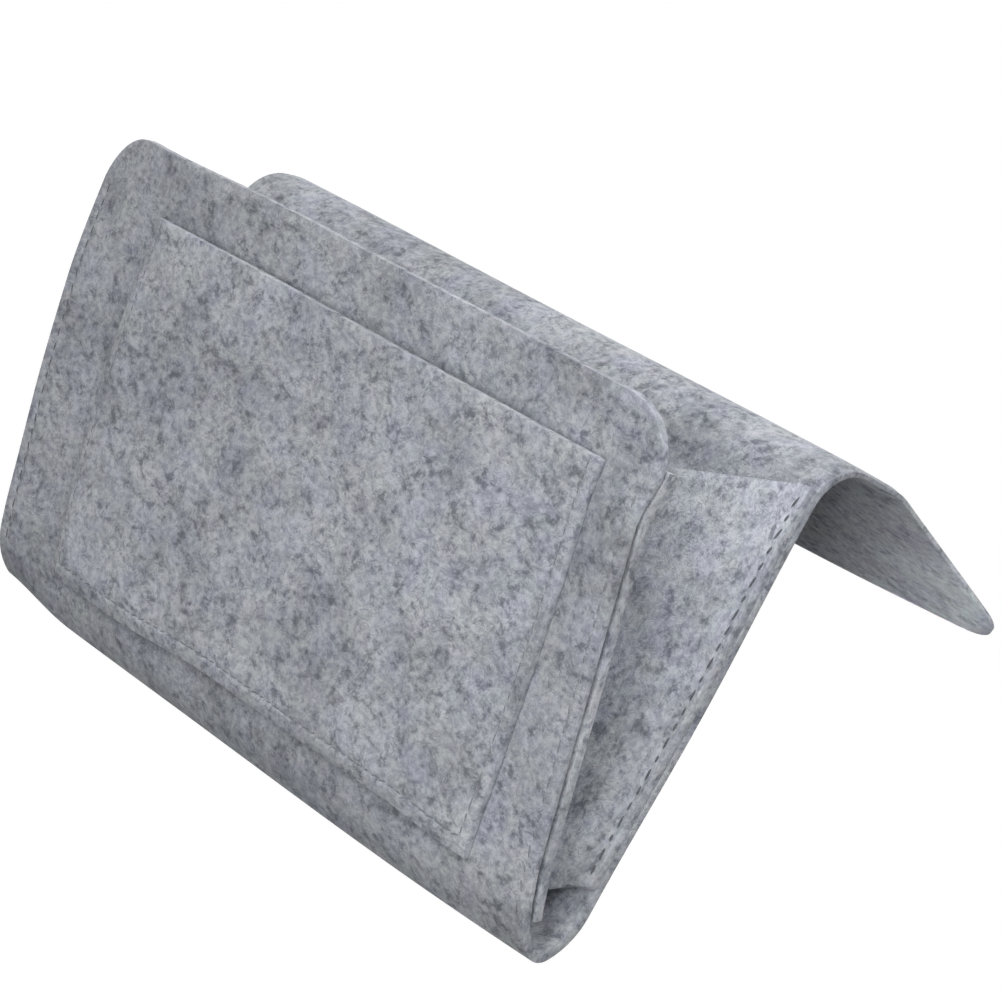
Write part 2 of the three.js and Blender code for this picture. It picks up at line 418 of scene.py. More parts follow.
@dataclass(frozen=True)
class FeltFinish:
    """Mottled felt pressed from light and dark fibres.

    A noise is given by its features to the metre, its octaves and the strength of the finer
    ones. A share says how strongly a layer of the pattern covers what lies under it.
    """

    name: str
    shift: Triple = (0.0, 0.0, 0.0)
    stretch: Triple = (0.76, 1.0, 1.0)
    tone: float = 1.0
    pale: Triple = (0.6, 0.615, 0.65)
    light: Triple = (0.485, 0.5, 0.54)
    middle: Triple = (0.305, 0.32, 0.36)
    dark: Triple = (0.075, 0.083, 0.103)
    cool: Triple = (0.98, 0.995, 1.02)
    warm: Triple = (1.01, 1.01, 0.985)
    mossy: Triple = (0.996, 1.011, 0.984)
    rosy: Triple = (1.006, 0.991, 1.012)
    swirl: Triple = (95.0, 2.0, 0.5)
    swirl_reach: float = 0.005
    curl: Triple = (330.0, 1.0, 0.5)
    curl_reach: float = 0.002
    cloud: Triple = (34.0, 4.0, 0.62)
    tuft: Triple = (185.0, 3.0, 0.6)
    speck: Triple = (430.0, 3.0, 0.62)
    grain: Triple = (1300.0, 2.0, 0.7)
    dark_ends: Triple = (900.0, 2.0, 0.6)
    pale_ends: Triple = (700.0, 2.0, 0.6)
    tint: Triple = (70.0, 2.0, 0.5)
    blush: Triple = (120.0, 2.0, 0.6)
    dark_turns: Triple = (0.3, 1.25, 2.35)
    pale_turns: Triple = (0.8, 1.9, 2.9)
    pale_share: float = 0.3
    cloud_share: float = 0.26
    blot_share: float = 0.4
    dot_share: float = 0.49
    line_share: float = 0.35
    relief: float = 0.45
    relief_depth: float = 0.0006
    roughness: float = 0.96
    gloss: float = 0.12
    sheen: float = 0.12
    sheen_roughness: float = 0.6

    def materials(self) -> tuple[Material, Material]:
        """Build the finish of the faces and that of the cut edges."""
        return self.made(self.name, False), self.made(f"{self.name}_cut_edge", True)

    def made(self, name: str, cut_edge: bool) -> Material:
        """Build a node material of the felt.

        Args:
            name: Name of the material.
            cut_edge: Whether it shows the ends of the fibres instead of their length.

        Returns:
            The material, ready to go on a piece.
        """
        nodes = Nodes(name)
        where = nodes.add("ShaderNodeTexCoord").outputs["Object"]
        where = nodes.shifted(where, self.shift, self.stretch)
        swirl = nodes.noise(where, *self.swirl, out="Color")
        bent = nodes.nudged(where, swirl, self.swirl_reach)
        cloud = nodes.ramp(nodes.noise(where, *self.cloud), 0.36, 0.66)
        tuft = nodes.noise(bent, *self.tuft)
        speck = nodes.noise(bent, *self.speck)
        grain = nodes.noise(where, *self.grain)
        if cut_edge:
            dark_fibre = nodes.ramp(nodes.noise(bent, *self.dark_ends, 5.0), 0.56, 0.68)
            pale_fibre = nodes.ramp(nodes.noise(bent, *self.pale_ends, 9.0), 0.5, 0.64)
        else:
            sheet = self.flat(nodes)
            dark_fibre = nodes.fibres(sheet, self.dark_turns, 0.0)
            pale_fibre = nodes.fibres(sheet, self.pale_turns, 11.0)
        blot = nodes.math("MULTIPLY", nodes.ramp(tuft, 0.46, 0.64), cloud)
        dot = nodes.ramp(nodes.weighted((speck, 0.6), (tuft, 0.4)), 0.535, 0.625)
        line = nodes.math("MULTIPLY", dark_fibre, nodes.ramp(tuft, 0.38, 0.56))

        colour = nodes.mix(nodes.ramp(speck, 0.33, 0.62), self.light, self.middle)
        for layer, share, over in (
            (pale_fibre, self.pale_share, self.pale),
            (cloud, self.cloud_share, self.dark),
            (blot, self.blot_share, self.dark),
            (dot, self.dot_share, self.dark),
            (line, self.line_share, self.dark),
        ):
            colour = nodes.mix(nodes.weighted((layer, share)), colour, over)
        cool_warm = nodes.ramp(nodes.noise(where, *self.tint, 7.0), 0.38, 0.62)
        moss_rose = nodes.ramp(nodes.noise(bent, *self.blush, 3.0), 0.4, 0.6)
        thin, full = ((level * self.tone,) * 3 for level in (0.97, 1.03))
        for share, first, second in (
            (cool_warm, self.cool, self.warm),
            (moss_rose, self.mossy, self.rosy),
            (nodes.ramp(grain, 0.3, 0.7), thin, full),
        ):
            colour = nodes.mix(1.0, colour, nodes.mix(share, first, second), "MULTIPLY")

        height = nodes.weighted((speck, 0.55), (grain, 0.3), (pale_fibre, 0.3))
        nodes.dress(colour, height, self.relief, self.relief_depth)
        nodes.preset(
            {
                "Roughness": self.roughness,
                "Specular IOR Level": self.gloss,
                "Sheen Weight": self.sheen,
                "Sheen Roughness": self.sheen_roughness,
            }
        )
        return nodes.made

    def flat(self, nodes: Nodes) -> Socket:
        """Flat coordinates of the sheet, with a small curl for its fibres.

        Args:
            nodes: Node tree to add them to.

        Returns:
            The coordinates, in metres.
        """
        unfolded = nodes.add("ShaderNodeUVMap")
        unfolded.uv_map = FLAT_UV
        sheet = nodes.shifted(unfolded.outputs["UV"], self.shift, self.stretch)
        curl = nodes.noise(sheet, *self.curl, out="Color")
        return nodes.nudged(sheet, curl, self.curl_reach)


@dataclass(frozen=True)
class ThreadFinish:
    """Dark grey sewing thread of two twisted plies."""

    name: str
    pale: Triple
    deep: Triple
    ply: Triple = (2200.0, 2.0, 0.6)
    relief: float = 0.5
    relief_depth: float = 0.0002
    roughness: float = 0.7

    def material(self) -> Material:
        """Build the thread's node material.

        Returns:
            The material, ready to go on a piece.
        """
        nodes = Nodes(self.name)
        where = nodes.add("ShaderNodeTexCoord").outputs["Object"]
        ply = nodes.noise(where, *self.ply)
        colour = nodes.mix(nodes.ramp(ply, 0.35, 0.65), self.deep, self.pale)
        nodes.dress(colour, ply, self.relief, self.relief_depth)
        nodes.preset({"Roughness": self.roughness})
        return nodes.made


@dataclass
class StripSection:
    """Side view of the main strip's middle layer, from the flap's free edge to the front's top.

    Lengths are in millimetres. Heights on a panel are measured from the bottom fold line.
    """

    flap: float = 84.36
    flap_slope: float = 17.0
    bend_radius: float = 15.0
    ridge_flat: float = 15.76
    ridge_radius: float = 16.5
    back_top: float = 160.6
    fold_side_radius: float = 23.5
    fold_tight_radius: float = 5.0
    fold_tight_angle: float = 38.0
    pocket_lean: float = 16.3
    front_top: float = 174.9
    panel_start: float = 17.766
    split_share: float = 0.45
    cut_turn: float = 7.0
    fold_line: Vector = field(init=False)
    steps: list[Spot] = field(init=False)
    knots: list[tuple[float, Vector, float]] = field(init=False)

    def __post_init__(self) -> None:
        """Lay out the straight and round stretches and find where each one starts."""
        side_turn = 90.0 - self.pocket_lean / 2 - self.fold_tight_angle
        side = (self.arc(self.fold_side_radius, side_turn), -side_turn)
        tight = (self.arc(self.fold_tight_radius, self.fold_tight_angle), -self.fold_tight_angle)
        self.steps = [
            (self.flap, 0.0),
            (self.arc(self.bend_radius, self.flap_slope), self.flap_slope),
            (self.ridge_flat, 0.0),
            (self.arc(self.ridge_radius, 90.0), 90.0),
            (self.back_top - self.panel_start, 0.0),
            side,
            tight,
            tight,
            side,
            (self.front_top - self.panel_start, 0.0),
        ]
        knots = []
        heading, run, spot = 180.0 - self.flap_slope, 0.0, Vector((0.0, 0.0))
        for length, turn in self.steps:
            knots.append((run, spot.copy(), heading))
            spot += self.stride(heading, length, length, turn)
            run += length
            heading += turn
        self.fold_line = fold_line().yz / MM
        shift = self.fold_line - knots[Stretch.FRONT_TIGHT][1]
        self.knots = [(run, spot + shift, heading) for run, spot, heading in knots]

    @staticmethod
    def arc(radius: float, degrees: float) -> float:
        """Length of an arc."""
        return radius * math.radians(degrees)

    @staticmethod
    def stride(heading: float, part: float, length: float, turn: float) -> Vector:
        """Way covered along part of one stretch.

        Args:
            heading: Direction at its start, in degrees from +Y towards +Z.
            part: Length covered.
            length: Whole length of the stretch.
            turn: Turn over the whole stretch, in degrees.

        Returns:
            The way in Y and Z.
        """
        first = math.radians(heading)
        if not turn:
            return Vector((math.cos(first), math.sin(first))) * part
        rate = math.radians(turn) / length
        last = first + rate * part
        way = (math.sin(last) - math.sin(first), math.cos(first) - math.cos(last))
        return Vector(way) / rate

    @property
    def length(self) -> float:
        """Cut length of the strip."""
        return sum(length for length, _ in self.steps)

    def start(self, stretch: Stretch) -> float:
        """Run where a stretch starts."""
        return self.knots[stretch][0]

    def split_run(self) -> float:
        """Run on the back panel where its two made halves meet."""
        return self.start(Stretch.BACK) + self.split_share * self.steps[Stretch.BACK][0]

    def run_at(self, panel: Panel, height: float) -> float:
        """Run of a height on a panel.

        Args:
            panel: Panel that the height is on.
            height: Distance from the bottom fold line along the panel.

        Returns:
            The run from the flap's free edge.
        """
        if panel is Panel.FRONT:
            return self.start(Stretch.FRONT) + height - self.panel_start
        return self.start(Stretch.BACK_ROUND) - (height - self.panel_start)

    def rise(self, panel: Panel, low: float, high: float, run: float) -> float:
        """Smooth step of a run, from 0 at one height on a panel to 1 at another."""
        return smooth(self.run_at(panel, low), self.run_at(panel, high), run)

    def at(self, run: float) -> tuple[Vector, Vector]:
        """Place and outward direction of a run.

        Args:
            run: Length from the flap's free edge.

        Returns:
            Point in Y and Z, and the unit vector towards the flap's underside, the back
            panel's rear and the front panel's front.
        """
        index = max(i for i, knot in enumerate(self.knots) if i == 0 or run >= knot[0])
        start, spot, heading = self.knots[index]
        length, turn = self.steps[index]
        spot = spot + self.stride(heading, run - start, length, turn)
        angle = math.radians(heading + turn * (run - start) / length)
        return spot, Vector((-math.sin(angle), math.cos(angle)))

    def cuts(self, low: float, high: float, flat_step: float) -> list[float]:
        """Runs to cut a sheet at, close together where it is round.

        Args:
            low: First run of the sheet.
            high: Last run of the sheet.
            flat_step: Largest distance on the flat stretches.

        Returns:
            Runs in rising order.
        """
        found: list[float] = []
        for (start, _, _), (length, turn) in zip(self.knots, self.steps):
            step = min(flat_step, self.cut_turn * length / abs(turn)) if turn else flat_step
            found += [start, *spread(start, start + length, step)]
        return [run for run in sorted(set(found)) if low + 0.05 < run < high - 0.05]


@dataclass
class Felt:
    """Shape of the main strip, which every sewn piece is laid on.

    Places on it are given by x from the middle of the caddy, by the run from the flap's free
    edge, and by the distance outwards from its middle layer, all in millimetres. A span is the
    x where a bow starts and the x where it is full. Heights are those of StripSection.
    """

    section: StripSection
    width: float = 320.0
    corner: float = 22.0
    flap_droop: float = 2.8
    back_bulge: float = 1.6
    bulge_heights: Spot = (20.0, 158.0)
    soft_from: float = 115.0
    left_corner_curl: float = 5.0
    curl_span: Spot = (-105.0, -165.0)
    left_corner_drop: float = 3.0
    drop_span: Spot = (-30.0, -165.0)
    bottom_sag: float = 1.7
    sag_heights: Spot = (110.0, 20.0)
    bottom_left_rise: float = 3.2
    rise_span: Spot = (-115.0, -162.0)
    grip_heights: Triple = (15.0, 138.0, 160.0)
    grip_at_foot: float = 0.2
    grip_start: float = 0.12
    right_edge_pull: float = 2.2
    pull_span: Spot = (100.0, 158.0)
    right_edge_flare: float = 3.6
    right_flare_span: Spot = (126.0, 162.0)
    left_edge_flare: float = 1.4
    left_flare_span: Spot = (-135.0, -162.0)
    left_flare_heights: Spot = (135.0, 70.0)
    left_flare_foot: float = 12.0
    waviness: float = 0.28

    def bow(self, x: float, run: float) -> float:
        """Slight bowing of the felt, along its outward direction.

        Args:
            x: Distance from the middle of the caddy.
            run: Length from the flap's free edge.

        Returns:
            Distance that the felt stands outwards.
        """
        section = self.section
        across = x / (self.width / 2)
        out = 0.0
        flap_end = section.start(Stretch.RIDGE)
        if run < flap_end:
            reach = (1.0 - run / flap_end) ** 2
            out += self.flap_droop * reach * (1.0 - across * across)
        out -= self.left_corner_curl * self.front_end(run) * smooth(*self.curl_span, x)
        back_low, back_high = (section.run_at(Panel.BACK, height) for height in self.bulge_heights)
        if back_high < run < back_low:
            share = (run - back_high) / (back_low - back_high)
            out += self.back_bulge * math.sin(math.pi * share) ** 2
        out += self.sewn(run) * self.right_edge_flare * smooth(*self.right_flare_span, x)
        middle = section.rise(Panel.FRONT, *self.left_flare_heights, run)
        foot = section.start(Stretch.FRONT) + self.left_flare_foot
        face = smooth(section.start(Stretch.FRONT_ROUND), foot, run)
        out += self.left_edge_flare * middle * face * smooth(*self.left_flare_span, x)
        wave = math.sin(x / 41.0 + run / 57.0) + math.sin(x / 67.0 - run / 38.0 + 1.7)
        return out + self.waviness * wave

    def front_end(self, run: float) -> float:
        """Share of the softness of the front panel's upper end, from 0 to 1."""
        return self.section.rise(Panel.FRONT, self.soft_from, self.section.front_top, run)

    def pull(self, x: float, run: float) -> float:
        """How far the gusset draws the front panel's right edge in."""
        return self.right_edge_pull * self.sewn(run) * smooth(*self.pull_span, x)

    def sewn(self, run: float) -> float:
        """Strength of the gussets' grip on the front panel's edges.

        Args:
            run: Length from the flap's free edge.

        Returns:
            A number from 0 to 1.
        """
        section, (foot, full, end) = self.section, self.grip_heights
        low, high = section.run_at(Panel.FRONT, foot), section.run_at(Panel.FRONT, full)
        if run < low:
            return 0.0
        share = min(1.0, (run - low) / (high - low))
        grip = self.grip_at_foot + (1.0 - self.grip_at_foot) * share
        grip *= smooth(0.0, self.grip_start, share)
        return grip * section.rise(Panel.FRONT, end, full, run)

    def sag(self, x: float, run: float) -> float:
        """How far the bottom hangs lower than a straight fold.

        Args:
            x: Distance from the middle of the caddy.
            run: Length from the flap's free edge.

        Returns:
            Distance downwards.
        """
        rear = self.section.rise(Panel.BACK, *self.sag_heights, run)
        face = self.section.rise(Panel.FRONT, *self.sag_heights, run)
        middle = self.bottom_sag * (1.0 - (x / (self.width / 2)) ** 2)
        return rear * face * (middle - self.bottom_left_rise * smooth(*self.rise_span, x))

    def place(self, x: float, run: float, away: float = 0.0) -> Vector:
        """Point in the caddy's frame, in metres.

        Args:
            x: Distance from the middle of the caddy.
            run: Length from the flap's free edge.
            away: Distance outwards from the middle layer.

        Returns:
            The point.
        """
        drop = self.left_corner_drop * (self.front_end(run) * smooth(*self.drop_span, x))
        spot, out = self.section.at(run - drop)
        spot = spot + out * (away + self.bow(x, run))
        return Vector((x - self.pull(x, run), spot.x, spot.y - self.sag(x, run))) * MM

    def frame_at(self, x: float, run: float, away: float) -> Matrix:
        """Placing of a stitch on the felt.

        Args:
            x: Distance from the middle of the caddy.
            run: Length from the flap's free edge.
            away: Distance outwards from the middle layer.

        Returns:
            Matrix whose X runs across, Y along the run and Z outwards.
        """
        here = self.place(x, run, away)
        along = (self.place(x, run + 0.2, away) - here).normalized()
        across = (self.place(x + 0.2, run, away) - here).normalized()
        out = across.cross(along).normalized()
        across = along.cross(out).normalized()
        rows = Matrix((across, along, out)).transposed().to_4x4()
        rows.translation = here
        return rows


@dataclass(frozen=True)
class StitchLine:
    """Straight row of stitches, with the dip that it pulls into the felt."""

    x_from: float
    run_from: float
    x_to: float
    run_to: float

    def at(self, share: float) -> Spot:
        """Place on the row, from 0 at its start to 1 at its end."""
        return (
            self.x_from + (self.x_to - self.x_from) * share,
            self.run_from + (self.run_to - self.run_from) * share,
        )

    @property
    def upright(self) -> bool:
        """Whether the row runs along the strip."""
        return abs(self.x_to - self.x_from) < abs(self.run_to - self.run_from)

    @property
    def length(self) -> float:
        """Length of the row."""
        return math.hypot(self.x_to - self.x_from, self.run_to - self.run_from)

    def dip(self, x: float, run: float, depth: float, reach: float) -> float:
        """How deep the felt is pulled in at a place.

        Args:
            x: Distance from the middle of the caddy.
            run: Length from the flap's free edge.
            depth: Depth on the row.
            reach: Distance over which the dip dies away.

        Returns:
            The depth.
        """
        dx, dr = self.x_to - self.x_from, self.run_to - self.run_from
        t = ((x - self.x_from) * dx + (run - self.run_from) * dr) / self.length**2
        t = min(1.0, max(0.0, t))
        off = math.hypot(x - self.x_from - t * dx, run - self.run_from - t * dr)
        return depth * math.exp(-((off / reach) ** 2))


class Sheet:
    """One cut of felt that starts flat and is laid into place."""

    # Rounding of the cut edges, in millimetres
    CUT_EDGE = 0.45

    def __init__(self, name: str, low: Spot, high: Spot, unit: float = 1.0) -> None:
        """Start from one flat rectangle.

        Args:
            name: Name of the piece.
            low: Its lowest corner.
            high: Its highest corner.
            unit: Length of about a millimetre in the rectangle's own measure.
        """
        self.name, self.unit = name, unit
        self.low, self.high = Vector(low), Vector(high)
        self.weights: list[float] = []
        self.mesh = bmesh.new()
        bmesh.ops.create_grid(self.mesh, x_segments=1, y_segments=1, size=0.5)
        spans = [max(vert.co[axis] for vert in self.mesh.verts) * 2 for axis in (0, 1)]
        size, middle = self.high - self.low, (self.low + self.high) / 2
        scale = (size.x / spans[0], size.y / spans[1], 1.0)
        bmesh.ops.scale(self.mesh, vec=scale, verts=self.mesh.verts)
        bmesh.ops.translate(self.mesh, vec=(*middle, 0.0), verts=self.mesh.verts)

    def cut(self, axis: int, places: Iterable[float]) -> None:
        """Cut the flat sheet into rows or columns, none too close to another or to an end.

        Args:
            axis: 0 for cuts across x, 1 for cuts across the run.
            places: Where to cut.
        """
        normal = Vector((1.0, 0.0, 0.0)) if axis == 0 else Vector((0.0, 1.0, 0.0))
        margin, closest = 0.05 * self.unit, 0.12 * self.unit
        taken: list[float] = []
        for place in sorted(places):
            inside = self.low[axis] + margin < place < self.high[axis] - margin
            if not inside or (taken and place - taken[-1] < closest):
                continue
            taken.append(place)
            bmesh.ops.bisect_plane(
                self.mesh,
                geom=[*self.mesh.verts, *self.mesh.edges, *self.mesh.faces],
                plane_co=normal * place,
                plane_no=normal,
                dist=1e-5 * self.unit,
            )

    def cut_at_rows(self, lines: Sequence[StitchLine], x: list[float], run: list[float]) -> None:
        """Cut the flat sheet at plain places, and finely along its stitch rows.

        Args:
            lines: Stitch rows.
            x: Plain places for cuts across x.
            run: Plain places for cuts across the run.
        """
        for line in lines:
            middle, places = (line.x_from, x) if line.upright else (line.run_from, run)
            places.extend(middle + cut for cut in DIP_CUTS)
        self.cut(0, x)
        self.cut(1, run)

    def round_corner(self, x_end: int, y_end: int, radius: float) -> None:
        """Round one corner by drawing its square of felt in to a quarter circle.

        Args:
            x_end: -1 for the low end in x, 1 for the high end.
            y_end: -1 for the low end of the run, 1 for the high end.
            radius: Radius of the corner.
        """
        corner_x = self.low.x if x_end < 0 else self.high.x
        corner_y = self.low.y if y_end < 0 else self.high.y
        middle = Vector((corner_x - x_end * radius, corner_y - y_end * radius))
        for vert in self.mesh.verts:
            u = (vert.co.x - middle.x) * x_end / radius
            v = (vert.co.y - middle.y) * y_end / radius
            if u <= 0.0 or v <= 0.0:
                continue
            pull = max(u, v) / math.hypot(u, v)
            vert.co.x = middle.x + u * pull * x_end * radius
            vert.co.y = middle.y + v * pull * y_end * radius

    def lay(
        self,
        where: Callable[[float, float], Vector],
        flat: Callable[[float, float], Spot] = unmoved,
        full: Callable[[float, float], float] = lambda x, run: 1.0,
    ) -> None:
        """Note the flat places as a UV map, and move every point to its place.

        Args:
            where: Gives the place in metres for a point of the sheet.
            flat: Gives the flat place in millimetres for a point of the sheet.
            full: Gives the share of the felt's thickness at a point of the sheet.
        """
        layer = self.mesh.loops.layers.uv.new(FLAT_UV)
        for face in self.mesh.faces:
            for loop in face.loops:
                u, v = flat(loop.vert.co.x, loop.vert.co.y)
                loop[layer].uv = (u * MM, v * MM)
        self.weights = [full(vert.co.x, vert.co.y) for vert in self.mesh.verts]
        for vert in self.mesh.verts:
            vert.co = where(vert.co.x, vert.co.y)

    def finish(self, materials: tuple[Material, Material], flip: bool = False) -> Piece:
        """Give the sheet its thickness and soft cut edges.

        Args:
            materials: Felt of its faces and felt of its cut edges.
            flip: Whether its faces have to be turned round first.

        Returns:
            The finished object, at the origin.
        """
        if flip:
            bmesh.ops.reverse_faces(self.mesh, faces=self.mesh.faces)
        made = meshed(self.name, self.mesh)
        for material in materials:
            made.data.materials.append(material)
        body = made.vertex_groups.new(name="fullness")
        for index, weight in enumerate(self.weights):
            body.add([index], weight, "REPLACE")
        thick = made.modifiers.new("thickness", "SOLIDIFY")
        thick.thickness = FELT * MM
        thick.offset = 0.0
        thick.use_even_offset = True
        thick.vertex_group = body.name
        thick.material_offset_rim = 1
        edge = made.modifiers.new("cut_edge", "BEVEL")
        edge.width = self.CUT_EDGE * MM
        edge.segments = 2
        edge.limit_method = "ANGLE"
        edge.angle_limit = math.radians(50.0)
        self.settle(made)
        return made

    @staticmethod
    def settle(made: Piece) -> None:
        """Turn an object's modifiers into plain mesh, shaded smooth.

        Args:
            made: Object with its modifiers.
        """
        graph = bpy.context.evaluated_depsgraph_get()
        plain, flat = bpy.data.meshes.new_from_object(made.evaluated_get(graph)), made.data
        made.modifiers.clear()
        made.data = plain
        bpy.data.meshes.remove(flat)
        plain.name = made.name
        for polygon in plain.polygons:
            polygon.use_smooth = True


@dataclass
class Seam:
    """Rows of lockstitch on one face, as separate stitches joined in one piece."""

    name: str
    lines: Sequence[StitchLine]
    away: float
    outward: bool
    node: str
    panel: Panel
    thread: Thread
    drawn: Callable[[float, float], Spot] = unmoved
    pitch: float = 5.6
    stitch: float = 3.5
    thick: float = 0.8
    sink: float = 0.38
    flatness: float = 0.8
    lean: float = 6.0
    lean_spread: float = 10.0
    length_spread: float = 0.3

    def build(self, felt: Felt, material: Material) -> Piece:
        """Make the stitches and lay them on the felt.

        Args:
            felt: Strip that the seam lies on.
            material: Thread to dress them in.

        Returns:
            The finished object.
        """
        rows = bmesh.new()
        for line in self.lines:
            count = max(1, round(line.length / self.pitch))
            for index in range(count):
                self.one(rows, felt, line, (index + 0.5) / count)
        made = meshed(self.name, rows)
        made.data.materials.append(material)
        for polygon in made.data.polygons:
            polygon.use_smooth = True
        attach(made, self.panel.body)
        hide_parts(self.node)
        return made

    def one(self, rows: bmesh.types.BMesh, felt: Felt, line: StitchLine, share: float) -> None:
        """Add one stitch, a little uneven in its lean and its length.

        Args:
            rows: Mesh to add it to.
            felt: Strip that it lies on.
            line: Row that it belongs to.
            share: Place along the row, from 0 to 1.
        """
        x, run = self.drawn(*line.at(share))
        next_x, next_run = self.drawn(*line.at(share + 0.5 / line.length))
        uneven = math.sin(x * 12.7 + run * 7.9)
        away = self.away - (self.sink if self.outward else -self.sink)
        place = felt.frame_at(x, run, away)
        turn = Matrix.Rotation(math.atan2(x - next_x, next_run - run), 4, "Z")
        lean = Matrix.Rotation(math.radians(self.lean + self.lean_spread * uneven), 4, "Z")
        long = self.stitch * (1.0 + self.length_spread * math.sin(x * 5.3 - run * 11.7))
        flat = self.thick * self.flatness
        size = Matrix.Diagonal((self.thick, long, flat, 1.0)) * (MM / 2)
        size[3][3] = 1.0
        bmesh.ops.create_uvsphere(
            rows, u_segments=8, v_segments=6, radius=1.0, matrix=place @ turn @ lean @ size
        )


@dataclass
class MainStrip:
    """The strip of felt that makes the flap, the ridge, the back, the bottom and the front."""

    felt: Felt
    finish: FeltFinish
    dips_out: Sequence[StitchLine]
    dips_back: Sequence[StitchLine]
    step: float = 4.0
    dip_depth: float = 0.35
    dip_reach: float = 1.1
    rim_press: float = 0.52
    rim_wide: float = 5.5
    side_press: float = 0.4
    side_wide: float = 5.0
    blend_past_ridge: float = 3.0

    def build(self) -> list[Piece]:
        """Make the strip in two lengths that meet on the back panel.

        Returns:
            The length with the flap and the length with the front.
        """
        materials = self.finish.materials()
        split = self.felt.section.split_run()
        return [self.upper(materials, split), self.lower(materials, split)]

    def full(self, x: float, run: float) -> float:
        """Share of the felt's thickness: pressed thin at the flap's edges and the front's.

        Args:
            x: Distance from the middle of the caddy.
            run: Length from the flap's free edge.

        Returns:
            A share from 0 to 1.
        """
        section, half = self.felt.section, self.felt.width / 2
        if run > section.start(Stretch.FRONT):
            return 1.0 - self.side_press * smooth(half - self.side_wide, half, x)
        flap = smooth(section.start(Stretch.BACK), section.start(Stretch.RIDGE), run)
        return 1.0 - self.rim_press * flap * smooth(self.rim_wide, 0.0, self.rim(x, run))

    def rim(self, x: float, run: float) -> float:
        """Distance of a place on the flap from its rounded outline.

        Args:
            x: Distance from the middle of the caddy.
            run: Length from the flap's free edge.

        Returns:
            The distance.
        """
        corner = self.felt.corner
        from_side = self.felt.width / 2 - abs(x)
        if from_side < corner and run < corner:
            return corner - math.hypot(corner - from_side, corner - run)
        return min(from_side, run)

    def laid(self, name: str, low: float, high: float, dips: Sequence[StitchLine]) -> Sheet:
        """Sheet across the whole width with one pair of rounded corners, laid into place.

        Args:
            name: Name of the piece.
            low: First run, rounded where it is the strip's own end.
            high: Last run, rounded where it is the strip's own end.
            dips: Stitch rows that pull it in.

        Returns:
            The sheet, still without thickness.
        """
        half = self.felt.width / 2
        sheet = Sheet(name, (-half, low), (half, high))
        rows = self.felt.section.cuts(low, high, self.step)
        sheet.cut_at_rows(dips, spread(-half, half, self.step), rows)
        for x_end in (-1, 1):
            sheet.round_corner(x_end, -1 if low == 0.0 else 1, self.felt.corner)

        def where(x: float, run: float) -> Vector:
            """Place of one flat point, with the seams pulled in."""
            deep = max(line.dip(x, run, self.dip_depth, self.dip_reach) for line in dips)
            return self.felt.place(x, run, -deep)

        sheet.lay(where, full=self.full)
        return sheet

    def upper(self, materials: tuple[Material, Material], split: float) -> Piece:
        """Make the flap, the ridge and the upper back.

        Args:
            materials: Felt of the faces and felt of the cut edges.
            split: Run where it ends.

        Returns:
            The finished object.
        """
        made = self.laid("felt_flap_and_ridge", 0.0, split, self.dips_back).finish(materials)
        section = self.felt.section
        from_spot, _ = section.at(section.start(Stretch.RIDGE) - section.ridge_flat)
        to_spot, _ = section.at(section.start(Stretch.BACK) + self.blend_past_ridge)
        blend_at(made, from_spot, to_spot)
        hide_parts("mattress_flap", "ridge_roll_flap", "ridge_roll_back", "back_panel")
        return made

    def lower(self, materials: tuple[Material, Material], split: float) -> Piece:
        """Make the lower back, the bottom and the front.

        Args:
            materials: Felt of the faces and felt of the cut edges.
            split: Run where it starts.

        Returns:
            The finished object.
        """
        section = self.felt.section
        dips = [*self.dips_back, *self.dips_out]
        made = self.laid("felt_front_and_bottom", split, section.length, dips).finish(materials)
        from_spot, _ = section.at(section.start(Stretch.BACK_ROUND))
        to_spot, _ = section.at(section.start(Stretch.FRONT))
        blend_at(made, from_spot, to_spot)
        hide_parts("bottom_roll_back", "bottom_roll_front", "front_panel")
        (section.length - split) * MM
        return made


